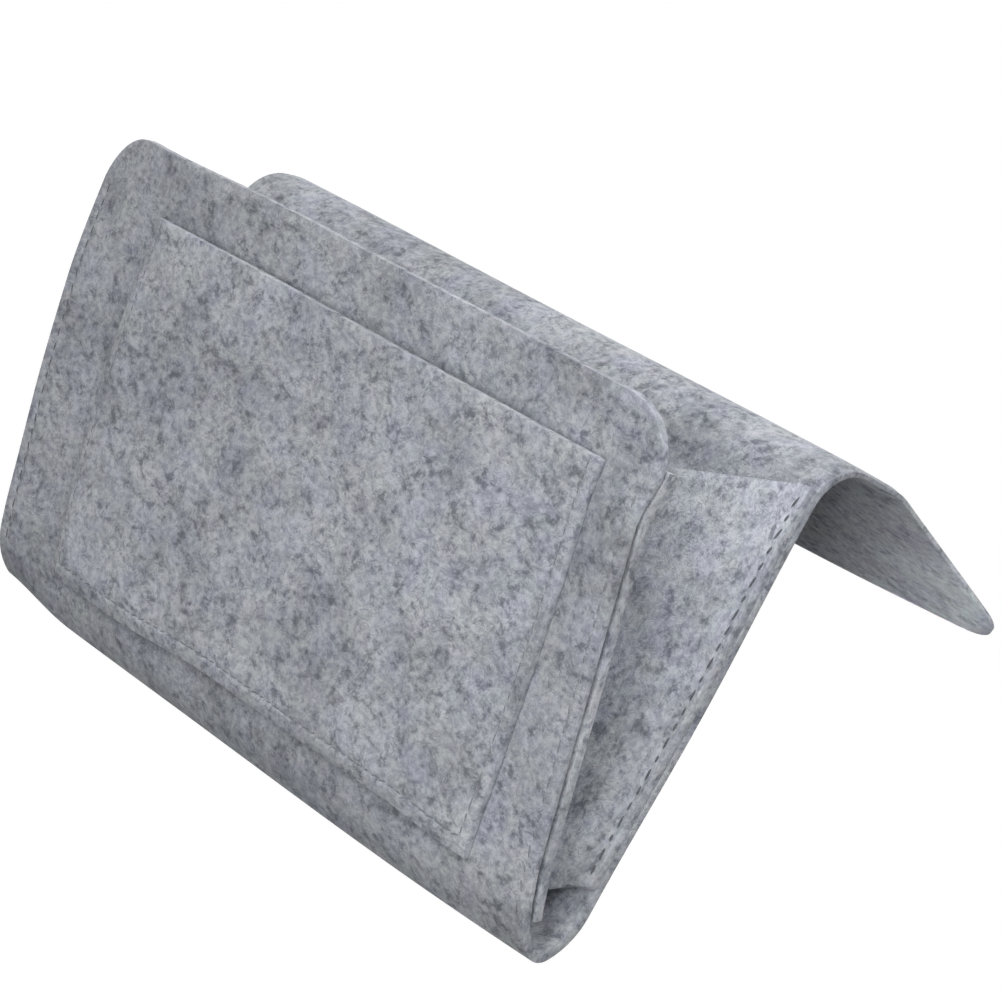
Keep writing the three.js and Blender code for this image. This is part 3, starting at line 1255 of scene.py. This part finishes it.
@dataclass
class PatchPocket:
    """Felt rectangle sewn on the front panel on three sides, a little askew.

    The drifts are how far its sides wander off in x on the way down, as factors of the
    share of the way, of its square and of its cube.
    """

    felt: Felt
    finish: FeltFinish
    left: float = -114.5
    right: float = 136.5
    bottom: float = 21.4
    top: float = 152.4
    stitch_in: float = 4.5
    bottom_stitch_in: float = 5.2
    top_stitch_in: float = 0.5
    left_drift: Triple = (-15.1, -6.1, 16.2)
    right_drift: Triple = (-1.9, -4.8, 0.0)
    left_sink: float = 3.6
    left_sink_span: Spot = (-10.0, -80.0)
    right_sink: float = 1.5
    right_sink_span: Spot = (90.0, 130.0)
    step: float = 4.0
    dip_depth: float = 0.45
    dip_reach: float = 1.2
    rim_press: float = 0.42
    right_press: float = 0.2
    press_from: float = 4.4
    press_to: float = 0.4
    fullness: float = 0.8
    full_from_side: float = 45.0
    full_from_bottom: float = 70.0

    def run(self, height: float) -> float:
        """Run of a height on the front panel."""
        return self.felt.section.run_at(Panel.FRONT, height)

    @property
    def face(self) -> float:
        """Distance of its outer face from the panel's middle layer."""
        return FELT * 1.5 + LAYER_GAP

    def drawn(self, x: float, at: float) -> Spot:
        """Place on the panel of a point of the straight pocket.

        Args:
            x: Distance from the middle of the caddy.
            at: Run of the point.

        Returns:
            The distance from the middle and the run where it is sewn on.
        """
        low, high = self.run(self.bottom), self.run(self.top)
        down = (high - at) / (high - low)
        share = (x - self.left) / (self.right - self.left)
        drift = Vector(self.left_drift).lerp(Vector(self.right_drift), share)
        sunk = self.left_sink * smooth(*self.left_sink_span, x)
        sunk += self.right_sink * smooth(*self.right_sink_span, x)
        return x + drift.dot(Vector((down, down**2, down**3))), at - sunk * down**2

    def lines(self) -> list[StitchLine]:
        """Stitch rows on its two sides and along its bottom.

        Returns:
            The rows, from the upper left corner to the upper right one.
        """
        low = self.run(self.bottom + self.bottom_stitch_in)
        high = self.run(self.top - self.top_stitch_in)
        left, right = self.left + self.stitch_in, self.right - self.stitch_in
        return [
            StitchLine(left, high, left, low),
            StitchLine(left, low, right, low),
            StitchLine(right, low, right, high),
        ]

    def build(self) -> Piece:
        """Make the pocket.

        Returns:
            The finished object.
        """
        low, high = self.run(self.bottom), self.run(self.top)
        sheet = Sheet("felt_patch_pocket", (self.left, low), (self.right, high))
        lines = self.lines()
        columns = spread(self.left, self.right, self.step)
        sheet.cut_at_rows(lines, columns, spread(low, high, self.step))

        def where(x: float, at: float) -> Vector:
            """Place of one flat point.

            Args:
                x: Distance from the middle of the caddy.
                at: Run of the point.

            Returns:
                The place in metres.
            """
            deep = max(line.dip(x, at, self.dip_depth, self.dip_reach) for line in lines)
            thick = FELT * self.full(x, at)
            away = self.face - FELT + thick / 2 - deep * thick / FELT
            return self.felt.place(*self.drawn(x, at), away + self.puff(x, at))

        sheet.lay(where, full=self.full)
        made = sheet.finish(self.finish.materials())
        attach(made, "front")
        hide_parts("patch_pocket")
        self.mean_width() * MM
        return made

    def full(self, x: float, at: float) -> float:
        """Share of the felt's thickness, pressed thin between the stitches and the cut edges.

        Args:
            x: Distance from the middle of the caddy.
            at: Run of the place.

        Returns:
            A share from 0 to 1.
        """
        inside = min(x - self.left, at - self.run(self.bottom))
        edge = smooth(self.press_from, self.press_to, inside)
        right_edge = smooth(self.press_from, self.press_to, self.right - x)
        return 1.0 - max(self.rim_press * edge, self.right_press * right_edge)

    def mean_width(self) -> float:
        """Cut width of the pocket, taken over its height."""
        grown = Vector(self.right_drift) - Vector(self.left_drift)
        return self.right - self.left + grown.dot(Vector((1 / 2, 1 / 3, 1 / 4)))

    def puff(self, x: float, at: float) -> float:
        """How far the pocket stands off the panel inside its stitches.

        Args:
            x: Distance from the middle of the caddy.
            at: Run of the place.

        Returns:
            The distance.
        """
        low, reach = self.run(self.bottom), self.full_from_side
        across = smooth(self.left, self.left + reach, x) * smooth(self.right, self.right - reach, x)
        return self.fullness * across * smooth(low, low + self.full_from_bottom, at)


@dataclass
class Gusset:
    """Felt side piece with a V fold inwards, sewn to the back and to the front.

    Lengths are in millimetres, and the angle of its wings is in radians.
    """

    felt: Felt
    finish: FeltFinish
    side: Side
    front_edge: float
    hinge: float = 154.0
    back_edge: float = 160.0
    back_low: float = 26.0
    back_foot: float = 3.0
    back_foot_end: float = 0.16
    back_high: float = 165.0
    front_low: float = 11.0
    front_high: float = 157.0
    wing_angle: float = math.radians(26.0)
    wing_least: float = 0.5
    fit_rounds: int = 6
    hem_bend: float = 6.0
    crease_bend: float = 5.0
    edge_drop: float = 0.33
    back_stitch: float = 157.4
    front_stitch: float = 155.7
    stitch_end: float = 2.5
    front_gap: float = 0.9
    front_gap_full: float = 160.0
    front_gap_end: Spot = (0.96, 0.8)
    dip_depth: float = 0.6
    dip_reach: float = 1.3
    blend_height: float = 90.0
    blend_reach: float = 19.5

    @property
    def hem_away(self) -> float:
        """Distance of the hem's middle layer from a panel's middle layer."""
        return FELT + LAYER_GAP

    @property
    def bends(self) -> Spot:
        """Lengths of the bend at the hem's fold and of half the bend at the crease."""
        return self.hem_bend * self.wing_angle, self.crease_bend * (math.pi / 2 - self.wing_angle)

    def ends(self, panel: Panel) -> Spot:
        """Lowest and highest height of its hem on a panel."""
        back = panel is Panel.BACK
        return (self.back_low, self.back_high) if back else (self.front_low, self.front_high)

    def panel_distance(self) -> float:
        """Distance of the hem's middle layer from the plane of the bottom fold line.

        Returns:
            The distance.
        """
        section = self.felt.section
        spot, out = section.at(section.start(Stretch.BACK_ROUND) - 1.0)
        return (spot - section.fold_line).dot(out) - self.hem_away

    def seam(self, panel: Panel) -> StitchLine:
        """Stitch row along one panel.

        Args:
            panel: Panel that the hem is sewn to.

        Returns:
            The row, from the bottom up.
        """
        run, (low, high) = self.felt.section.run_at, self.ends(panel)
        x = self.side.value * (self.back_stitch if panel is Panel.BACK else self.front_stitch)
        low, high = low + self.stitch_end, high - self.stitch_end
        return StitchLine(x, run(panel, low), x, run(panel, high))

    def crease(self, share: float) -> Triple:
        """Size of one half of a row between hem and crease.

        Args:
            share: Place of the row from the bottom to the top, from 0 to 1.

        Returns:
            Straight length of the wing, its reach inwards and its height at the crease.
        """
        slope = math.tan(math.radians(self.felt.section.pocket_lean / 2))
        sine, cosine = math.sin(self.wing_angle), math.cos(self.wing_angle)
        low = self.back_low + self.front_low
        seam = (low + share * (self.back_high + self.front_high - low)) / 2
        rounds_in = self.hem_bend * sine + self.crease_bend * (1 - sine)
        rounds_out = self.hem_bend * (1 - cosine) + self.crease_bend * cosine
        straight, reach, height = 0.0, rounds_in, seam
        for _ in range(self.fit_rounds):
            height = seam - self.edge_drop * reach
            room = self.panel_distance() + height * slope
            straight = max(self.wing_least, (room - rounds_out) / sine)
            reach = rounds_in + straight * cosine
        return straight, reach, height

    def path(self, straight: float, part: float) -> Spot:
        """Way inwards and off the panel along a wing.

        Args:
            straight: Straight length of the wing in this row.
            part: Place from the hem's fold to the crease, from 0 to 1.

        Returns:
            Distance inwards and distance off the panel.
        """
        angle, (hem, crease) = self.wing_angle, self.bends
        along = part * (hem + straight + crease)
        first = min(along, hem) / self.hem_bend
        middle = min(max(along - hem, 0.0), straight)
        last = angle + max(along - hem - straight, 0.0) / self.crease_bend
        inwards = self.hem_bend * math.sin(first) + middle * math.cos(angle)
        inwards += self.crease_bend * (math.sin(last) - math.sin(angle))
        off = self.hem_bend * (1 - math.cos(first)) + middle * math.sin(angle)
        off += self.crease_bend * (math.cos(angle) - math.cos(last))
        return inwards, off

    def where(self, across: float, share: float) -> Vector:
        """Place of one flat point.

        Args:
            across: From -2 at the back hem's edge through -1 at its fold, 0 at the crease and
                1 at the front fold to 2 at the front hem's edge.
            share: From 0 at the bottom to 1 at the top.

        Returns:
            The place in metres.
        """
        back = across < 0
        panel = Panel.BACK if back else Panel.FRONT
        edge = self.back_edge if back else self.front_edge
        low, high = self.ends(panel)
        foot = self.back_foot * smooth(self.back_foot_end, 0.0, share) if back else 0.0
        lower = self.edge_drop * (1 - share) if back else 0.0
        height = low + share * (high - low)
        section = self.felt.section
        if abs(across) > 1:
            hinge = self.hinge - foot
            x = self.side.value * (hinge + (edge - hinge) * (abs(across) - 1))
            run = section.run_at(panel, height - lower * (edge - abs(x)))
            return self.felt.place(x, run, self.hem_at(panel, x, run, share))
        straight, reach, crease_height = self.crease(share)
        inwards, off = self.path(straight, 1 - abs(across))
        left = 1 - inwards / reach
        height -= lower * (edge - self.hinge + foot)
        height += (crease_height - height) * inwards / reach
        x = self.side.value * (self.hinge - inwards - foot * left)
        base = self.plain(panel, x, height, -self.hem_away - off)
        run = section.run_at(panel, max(height, section.panel_start))
        shift = section.at(run)[1] * self.felt.bow(x, run)
        pull = 0.0 if back else self.felt.pull(x, run)
        return base + Vector((-pull, shift.x, shift.y - self.felt.sag(x, run))) * left * MM

    def hem_at(self, panel: Panel, x: float, run: float, share: float) -> float:
        """Distance of a hem from its panel's middle layer.

        Args:
            panel: Panel that the hem is sewn to.
            x: Distance from the middle of the caddy.
            run: Length from the flap's free edge.
            share: From 0 at the bottom to 1 at the top.

        Returns:
            The distance outwards, which is below 0 inside the pocket.
        """
        away = self.seam(panel).dip(x, run, self.dip_depth, self.dip_reach) - self.hem_away
        if panel is Panel.BACK:
            return away + LAYER_GAP * smooth(self.back_stitch, self.back_edge, abs(x))
        out = smooth(self.front_stitch, self.front_gap_full, abs(x))
        return away - self.front_gap * (out * smooth(*self.front_gap_end, share))

    def flat(self, across: float, share: float) -> Spot:
        """Place of a point on the gusset before it was folded.

        Args:
            across: Place across the gusset, as where takes it.
            share: From 0 at the bottom to 1 at the top.

        Returns:
            Distance from the crease and height, in millimetres.
        """
        wing = sum(self.bends) + self.crease(share)[0]
        hem = max(0.0, abs(across) - 1.0) * (self.front_edge - self.hinge)
        along = math.copysign(min(1.0, abs(across)) * wing + hem, across)
        return along, share * (self.front_high - self.front_low)

    def plain(self, panel: Panel, x: float, height: float, away: float) -> Vector:
        """Place off a panel taken as flat all the way down to the bottom fold line.

        Args:
            panel: Panel to measure from.
            x: Distance from the middle of the caddy.
            height: Distance from the bottom fold line along the panel.
            away: Distance outwards from the panel's middle layer.

        Returns:
            The place in metres.
        """
        section = self.felt.section
        start, out = section.at(section.run_at(panel, section.panel_start + 1.0))
        up, _ = section.at(section.run_at(panel, section.panel_start + 2.0))
        spot = start + (up - start) * (height - section.panel_start - 1.0) + out * away
        return Vector((x, spot.x, spot.y)) * MM

    def build(self) -> Piece:
        """Make the gusset as one folded sheet.

        Returns:
            The finished object.
        """
        sheet = Sheet(f"felt_gusset_{self.side.label}", (-2.0, 0.0), (2.0, 1.0), unit=0.01)
        wing = spread(FOLD_CUTS[-1], CREASE_CUTS[0], 0.06)
        half = [*HEM_CUTS, *FOLD_CUTS, *wing, *CREASE_CUTS]
        sheet.cut(0, [*half, 0.0, *(-place for place in half)])
        sheet.cut(1, spread(0.0, 1.0, 0.03))
        sheet.lay(self.where, self.flat)
        made = sheet.finish(self.finish.materials(), flip=self.side is Side.LEFT)
        self.hang(made)
        return made

    def hang(self, made: Piece) -> None:
        """Bake the gusset's placing into its mesh and hide the CAD parts that it stands for.

        Args:
            made: Finished gusset.
        """
        section = self.felt.section
        half = math.radians(section.pocket_lean / 2)
        middle = section.fold_line + Vector((-math.sin(half), math.cos(half))) * self.blend_height
        rear = Vector((math.cos(half), math.sin(half))) * self.blend_reach
        blend_at(made, middle + rear, middle - rear)
        parts = ("front_hem", "front_wing", "back_wing", "back_hem")
        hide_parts(*(f"gusset_{self.side.label}_{part}" for part in parts))
        hems = self.back_edge + self.front_edge - 2 * self.hinge
        widths = [hems + 2 * (self.crease(share)[0] + sum(self.bends)) for share in (0.0, 1.0)]


@dataclass
class Studio:
    """Camera, soft light and white surroundings."""

    lens: float = 143.86
    sensor: float = 36.0
    from_fold: Triple = (0.995054, -0.888920, 0.149614)
    look: Vector = field(default_factory=lambda: Vector((-0.729161, 0.683813, -0.026902)))
    up: Vector = field(default_factory=lambda: Vector((-0.346485, -0.334992, 0.876201)))
    ambient: float = 0.1
    floor_gap: float = 0.6
    floor_half: float = 30.0
    floor_tone: float = 0.17
    floor_glow: float = 0.985

    @property
    def right(self) -> Vector:
        """Direction to the right in the photograph."""
        return self.look.cross(self.up).normalized()

    def build(self) -> None:
        """Set up everything that isn't the caddy."""
        bpy.context.scene.view_settings.view_transform = "Standard"
        self.camera()
        self.world()
        self.floor()
        look, up, right = self.look, self.up, self.right
        middle, flap_tip = Vector((0.0, -0.08, -0.08)), Vector((0.16, 0.06, -0.02))
        self.lamp("soft", middle, up * 0.8 + right * 0.3 - look * 0.9, 1.8, 24.5)
        self.lamp("side", middle, up * 0.2 + right * 0.8 - look * 1.05, 1.4, 3.4)
        self.lamp("low", middle, Vector((0.47, -0.72, -0.5)), 0.6, 5.15)
        self.lamp("top", middle, up * 1.3 - right * 0.1 - look * 0.3, 1.0, 4.0)
        self.lamp("rear", middle, up * 0.35 + right * 0.2 + look * 1.35, 1.6, 17.0)
        self.lamp("tip", flap_tip, Vector((0.4, -0.56, -0.43)), 0.1, 0.05, beam=9.0)

    def camera(self) -> None:
        """Place the camera where the photograph was taken from."""
        data = bpy.data.cameras.new("camera")
        data.lens = self.lens
        data.sensor_width = self.sensor
        made = linked("camera", data)
        axes = (self.right, self.right.cross(self.look), -self.look)
        turn = Matrix(axes).transposed().to_4x4()
        turn.translation = fold_line() + Vector(self.from_fold)
        made.matrix_world = turn
        bpy.context.scene.camera = made

    def world(self) -> None:
        """White backdrop, and even light from all round."""
        world = bpy.data.worlds.new("studio")
        world.use_nodes = True
        tree = world.node_tree
        tree.nodes.clear()
        mix = tree.nodes.new("ShaderNodeMixShader")
        tree.links.new(self.seen_rays(tree), mix.inputs[0])
        for socket, strength in ((mix.inputs[1], self.ambient), (mix.inputs[2], 1.0)):
            light = tree.nodes.new("ShaderNodeBackground")
            light.inputs["Color"].default_value = WHITE
            light.inputs["Strength"].default_value = strength
            tree.links.new(light.outputs[0], socket)
        out = tree.nodes.new("ShaderNodeOutputWorld")
        tree.links.new(mix.outputs[0], out.inputs["Surface"])
        bpy.context.scene.world = world

    @staticmethod
    def seen_rays(tree: bpy.types.NodeTree) -> Socket:
        """Rays that show the backdrop: from the camera, off gloss and through glass.

        Args:
            tree: Node tree to add the test to.

        Returns:
            1 for these rays and 0 for all others.
        """
        rays = tree.nodes.new("ShaderNodeLightPath")
        found = rays.outputs["Is Camera Ray"]
        for name in ("Is Glossy Ray", "Is Transmission Ray"):
            either = tree.nodes.new("ShaderNodeMath")
            either.operation = "MAXIMUM"
            tree.links.new(found, either.inputs[0])
            tree.links.new(rays.outputs[name], either.inputs[1])
            found = either.outputs[0]
        return found

    def floor(self) -> None:
        """Pale floor under the hanging caddy, with its shadow."""
        mesh = bmesh.new()
        bmesh.ops.create_grid(mesh, x_segments=4, y_segments=4, size=self.floor_half)
        low = CAD_BOX[0].z - self.floor_gap
        bmesh.ops.translate(mesh, vec=(0.0, 0.0, low), verts=mesh.verts)
        made = meshed("floor", mesh)
        nodes = Nodes("floor")
        nodes.preset(
            {
                "Base Color": (self.floor_tone, self.floor_tone, self.floor_tone, 1.0),
                "Roughness": 1.0,
                "Specular IOR Level": 0.0,
                "Emission Color": WHITE,
            }
        )
        glow = nodes.weighted((self.seen_rays(nodes.tree), self.floor_glow))
        nodes.join(glow, nodes.shader.inputs["Emission Strength"])
        made.data.materials.append(nodes.made)

    @staticmethod
    def lamp(
        name: str, target: Vector, away: Vector, size: float, watts: float, beam: float = 180.0
    ) -> None:
        """Square lamp that looks at the caddy.

        Args:
            name: Name of the lamp.
            target: Point that it looks at.
            away: Way from the target to the lamp.
            size: Side of the lamp in metres.
            watts: Power.
            beam: Spread of its light, in degrees.
        """
        data = bpy.data.lights.new(name, "AREA")
        data.shape = "SQUARE"
        data.size = size
        data.energy = watts
        data.spread = math.radians(beam)
        made = linked(name, data)
        made.visible_camera = False
        made.location = target + away
        made.rotation_mode = "QUATERNION"
        made.rotation_quaternion = (-away).to_track_quat("-Z", "Y")


def seams(pocket: PatchPocket, gussets: Sequence[Gusset]) -> list[Seam]:
    """Every stitched face of the caddy.

    Args:
        pocket: Patch pocket with its three-sided seam.
        gussets: Gussets with a seam on each panel.

    Returns:
        The seams, needle side and bobbin side.
    """
    half = FELT / 2
    found = [
        Seam(
            f"stitches_pocket_{face}",
            pocket.lines(),
            away,
            face == "face",
            f"pocket_{side}_thread",
            Panel.FRONT,
            Thread.GREY,
            pocket.drawn,
            pitch=4.4,
            stitch=3.6,
            thick=0.7,
            sink=sink,
        )
        for face, side, away, sink in (
            ("face", "needle", pocket.face, 0.42),
            ("inside", "bobbin", -half, 0.1),
        )
    ]
    faces = (("outside", half, True), ("hem", -(half + LAYER_GAP + FELT), False))
    for gusset in gussets:
        for panel in Panel:
            front = panel is Panel.FRONT
            where = f"{gusset.side.label}_{panel.body}"
            # The back seams and the left front seam take the darker thread, painted shade for their
            # stitch grooves.
            thread = Thread.GREY if front and gusset.side is Side.RIGHT else Thread.DARK
            sides = ("needle", "bobbin") if front else ("bobbin", "needle")
            for (face, away, outward), side in zip(faces, sides):
                name, node = f"stitches_{where}_{face}", f"gusset_{where}_{side}_thread"
                rows = [gusset.seam(panel)]
                found.append(Seam(name, rows, away, outward, node, panel, thread))
    return found


def main() -> None:
    """Build the caddy and its surroundings."""
    logging.basicConfig(level=logging.INFO)
    Studio().build()
    felt = Felt(StripSection())
    pocket = PatchPocket(felt, FeltFinish("felt_pocket", (0.31, 0.17, 0.52)))
    gussets = []
    for side, front_edge in ((Side.LEFT, 161.5), (Side.RIGHT, 160.4)):
        shift, stretch = (0.7, side.value * 0.9, 0.2), (1.2, 1.0, 0.85)
        finish = FeltFinish(f"felt_gusset_{side.label}", shift, stretch)
        gussets.append(Gusset(felt, finish, side, front_edge))
    dips_out, dips_back = (
        [gusset.seam(panel) for gusset in gussets] for panel in (Panel.FRONT, Panel.BACK)
    )
    strip = MainStrip(felt, FeltFinish("felt_strip", tone=0.9), dips_out, dips_back)
    for piece in strip.build():
        LOG.info("strip: %s", piece.name)
    LOG.info("pocket: %s", pocket.build().name)
    for gusset in gussets:
        LOG.info("gusset: %s", gusset.build().name)
    grey = ThreadFinish("thread_grey", (0.235, 0.245, 0.268), (0.105, 0.109, 0.122))
    # Darker thread colour, painted shade standing in for the shade in the stitch grooves of the
    # gusset seams.
    dark = ThreadFinish("thread_dark", (0.11, 0.115, 0.13), (0.04, 0.042, 0.05))
    threads = {Thread.GREY: grey.material(), Thread.DARK: dark.material()}
    for seam in seams(pocket, gussets):
        LOG.info("seam: %s", seam.build(felt, threads[seam.thread]).name)


if __name__ == "__main__":
    main()
